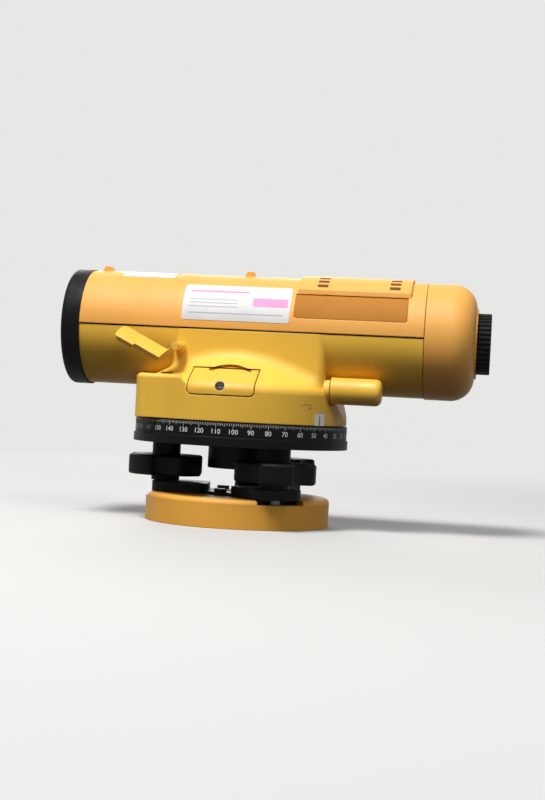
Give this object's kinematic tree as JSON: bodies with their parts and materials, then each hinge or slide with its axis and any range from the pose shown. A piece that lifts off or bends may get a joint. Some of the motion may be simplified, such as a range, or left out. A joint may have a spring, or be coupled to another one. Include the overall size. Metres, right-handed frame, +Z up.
{
  "type": "automatic optical level",
  "caption": "Surveyor's automatic optical level: a telescope with focusing and dioptre rings on a turning housing with a graduated circle and levelling foot screws.",
  "frame": {"origin": "centre of the tripod thread on the underside of the base plate", "axes": "+Z up along the vertical axis, +X along the telescope towards the eyepiece, -Y towards the side with the mirror and the bubble"},
  "size_m": [0.2301, 0.1178, 0.1376],
  "materials": {
    "body_yellow": "yellow enamel on an aluminium casting, slightly orange-peeled",
    "cover_orange": "orange-yellow enamel on an aluminium casting, satin",
    "yellow_plastic": "yellow moulded plastic, satin",
    "black_plastic": "black moulded plastic, fine matt grain",
    "black_paint": "black paint on aluminium, matt",
    "steel": "turned steel",
    "bronze": "turned bronze",
    "aluminium": "machined aluminium",
    "glass": "polished optical glass",
    "mirror": "silvered glass",
    "white_plastic": "white moulded plastic"
  },
  "bodies": {
    "base": {"base_plate": "cover_orange", "spring_plate": "black_paint", "spring_screws": "black_paint"},
    "foot_front": {"foot_screw_front": "steel", "foot_knob_front": "black_plastic"},
    "foot_back": {"foot_screw_back": "steel", "foot_knob_back": "black_plastic"},
    "foot_left": {"foot_screw_left": "steel", "foot_knob_left": "black_plastic"},
    "swivel_nut": {"foot_nut_left": "bronze"},
    "head": {"levelling_head": "black_paint", "axis_bush": "bronze", "clutch_spring": "steel", "clutch_circlip": "steel", "fixed_foot_nuts": "bronze"},
    "circle": {"horizontal_circle": "black_plastic"},
    "clutch_wheel": {"worm_wheel": "bronze"},
    "telescope": {"lower_housing": "body_yellow", "upper_cover": "cover_orange", "rear_cap": "cover_orange", "objective_hood": "black_plastic", "objective_cell": "aluminium", "objective_crown": "glass", "objective_flint": "glass", "objective_retainer": "black_paint", "guide_rods": "steel", "focus_bush": "bronze", "compensator_frame": "aluminium", "fixed_prisms": "glass", "suspension_tapes": "steel", "damping_magnets": "steel", "eyepiece_mount": "black_paint", "lock_ring": "cover_orange", "reticle_holder": "black_paint", "reticle_glass": "glass", "bubble_holder": "aluminium", "bubble_vial": "glass", "service_cover": "yellow_plastic", "cover_screw": "black_paint", "index_plate": "white_plastic", "bottom_plate": "aluminium", "bottom_screws": "steel", "worm_bracket": "aluminium", "vertical_spindle": "steel", "spindle_nut": "steel", "spindle_screws": "steel", "mirror_pin": "steel"},
    "worm": {"worm_shaft": "steel", "tangent_knob": "yellow_plastic"},
    "focus_drive": {"focus_shaft": "steel", "focus_knob": "black_plastic"},
    "focus_slider": {"focus_carriage": "aluminium", "focus_lens": "glass"},
    "eyepiece_slider": {"eyepiece_tube": "aluminium", "eyepiece_lenses": "glass"},
    "dioptre_ring": {"eyepiece_ring": "black_plastic"},
    "mirror": {"mirror_flap": "yellow_plastic", "mirror_glass": "mirror"},
    "compensator": {"pendulum": "aluminium", "pendulum_mirror": "mirror"}
  },
  "joints": [
    {"name": "foot_front_turn", "type": "hinge", "parent": "base", "child": "foot_front", "pos_m": [0.02493, -0.03191, 0.0297], "axis": [0, 0, 1], "range_deg": [-600, 600]},
    {"name": "foot_back_turn", "type": "hinge", "parent": "base", "child": "foot_back", "pos_m": [0.01517, 0.03755, 0.0297], "axis": [0, 0, 1], "range_deg": [-600, 600]},
    {"name": "foot_left_turn", "type": "hinge", "parent": "base", "child": "foot_left", "pos_m": [-0.04011, -0.00564, 0.0297], "axis": [0, 0, 1], "range_deg": [-600, 600]},
    {"name": "tilt_fore", "type": "hinge", "parent": "base", "child": "swivel_nut", "pos_m": [0.02005, 0.00282, 0.049], "axis": [-0.1392, 0.9903, 0], "range_deg": [-1.5, 1.5]},
    {"name": "tilt_cross", "type": "hinge", "parent": "swivel_nut", "child": "head", "pos_m": [-0.04011, -0.00564, 0.049], "axis": [0.9903, 0.1392, 0], "range_deg": [-1.5, 1.5]},
    {"name": "circle_turn", "type": "hinge", "parent": "head", "child": "circle", "pos_m": [0, 0, 0.049], "axis": [0, 0, 1], "continuous": true},
    {"name": "coarse_turn", "type": "hinge", "parent": "head", "child": "clutch_wheel", "pos_m": [0, 0, 0.0745], "axis": [0, 0, 1], "continuous": true},
    {"name": "fine_turn", "type": "hinge", "parent": "clutch_wheel", "child": "telescope", "pos_m": [0, 0, 0.0745], "axis": [0, 0, 1], "continuous": true},
    {"name": "worm_spin", "type": "hinge", "parent": "telescope", "child": "worm", "pos_m": [0, -0.0251, 0.0745], "axis": [1, 0, 0], "continuous": true},
    {"name": "focus_turn", "type": "hinge", "parent": "telescope", "child": "focus_drive", "pos_m": [-0.025, 0.04, 0.0977], "axis": [0, 1, 0], "range_deg": [-126, 126]},
    {"name": "focus_slide", "type": "slide", "parent": "telescope", "child": "focus_slider", "axis": [1, 0, 0], "range_m": [-0.0079, 0.0079]},
    {"name": "dioptre_slide", "type": "slide", "parent": "telescope", "child": "eyepiece_slider", "axis": [1, 0, 0], "range_m": [-0.00115, 0.00115]},
    {"name": "dioptre_turn", "type": "hinge", "parent": "eyepiece_slider", "child": "dioptre_ring", "pos_m": [0.1294, 0, 0.1037], "axis": [1, 0, 0], "range_deg": [-150, 150]},
    {"name": "mirror_tilt", "type": "hinge", "parent": "telescope", "child": "mirror", "pos_m": [-0.0295, -0.0417, 0.0935], "axis": [0, 1, 0], "range_deg": [-30, 40]},
    {"name": "pendulum_swing", "type": "hinge", "parent": "telescope", "child": "compensator", "pos_m": [0.015, 0, 0.1167], "axis": [0, 1, 0], "range_deg": [-0.3, 0.3]}
  ],
  "couplings": [
    {"joint": "foot_left_turn", "follows": "tilt_fore", "ratio": -381.7},
    {"joint": "foot_back_turn", "follows": "tilt_cross", "ratio": -220.38},
    {"joint": "foot_front_turn", "follows": "tilt_cross", "ratio": 220.38},
    {"joint": "worm_spin", "follows": "fine_turn", "ratio": 48},
    {"joint": "focus_turn", "follows": "focus_slide", "rad_per_m": 277.78},
    {"joint": "dioptre_turn", "follows": "dioptre_slide", "rad_per_m": 2222.2}
  ]
}
